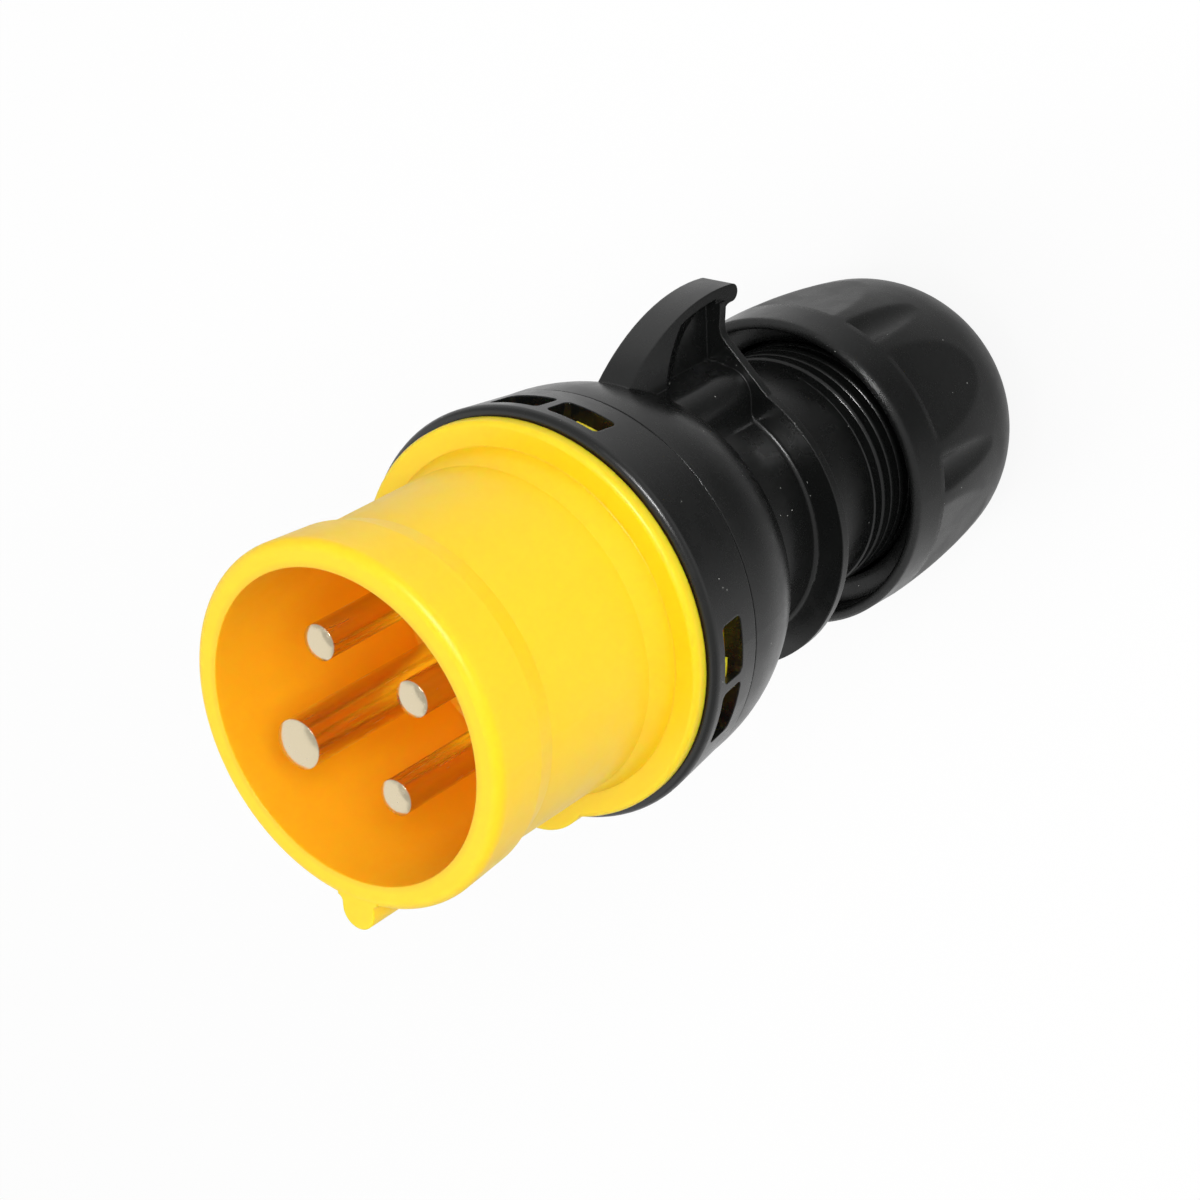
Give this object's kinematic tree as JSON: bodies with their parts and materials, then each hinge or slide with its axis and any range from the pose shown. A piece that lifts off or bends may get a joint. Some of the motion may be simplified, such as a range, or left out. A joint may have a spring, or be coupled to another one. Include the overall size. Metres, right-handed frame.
{
  "type": "locking power plug",
  "caption": "Round industrial cable plug with a shroud round its contacts, a bayonet-locked grip housing with a thumb fin, and a screw-down cable gland nut.",
  "frame": {"origin": "centre of the cable entry, in the flat end face of the gland nut", "axes": "+Z along the plug's axis towards the open mouth of the shroud, +Y towards the thumb fin, opposite the key of the shroud, +X to three o'clock seen from the contacts"},
  "size_m": [0.0592, 0.0656, 0.138],
  "materials": {
    "yellow_nylon": "satin injection moulding",
    "black_nylon": "satin injection moulding",
    "plated_brass": "nickel-plated, turned",
    "screw_steel": "zinc-plated",
    "retainer_nylon": "matt injection moulding",
    "gland_nylon": "natural nylon",
    "seal_rubber": "matt rubber"
  },
  "bodies": {
    "housing": {"housing": "black_nylon", "cable_seal": "seal_rubber", "clamp_cage": "gland_nylon"},
    "carrier": {"contact_carrier": "yellow_nylon", "pin_phase_1": "plated_brass", "pin_phase_2": "plated_brass", "pin_phase_3": "plated_brass", "pin_earth": "plated_brass", "terminal_screws": "screw_steel", "pin_retainer": "retainer_nylon", "retainer_screws": "screw_steel", "carrier_seal": "seal_rubber"},
    "slip_ring": {"thrust_ring": "gland_nylon"},
    "nut": {"gland_nut": "black_nylon"}
  },
  "joints": [
    {"name": "bayonet_twist", "type": "hinge", "parent": "housing", "child": "carrier", "pos_m": [0, 0, 0.0994], "axis": [0, 0, -1], "range_deg": [0, 20]},
    {"name": "gland_advance", "type": "slide", "parent": "housing", "child": "slip_ring", "axis": [0, 0, 1], "range_m": [-0.006, 0.002]},
    {"name": "gland_turn", "type": "hinge", "parent": "slip_ring", "child": "nut", "pos_m": [0, 0, 0.02], "axis": [0, 0, 1], "range_deg": [-1080, 360]}
  ],
  "couplings": [
    {"joint": "gland_advance", "follows": "gland_turn", "m_per_rad": 0.00031831}
  ]
}
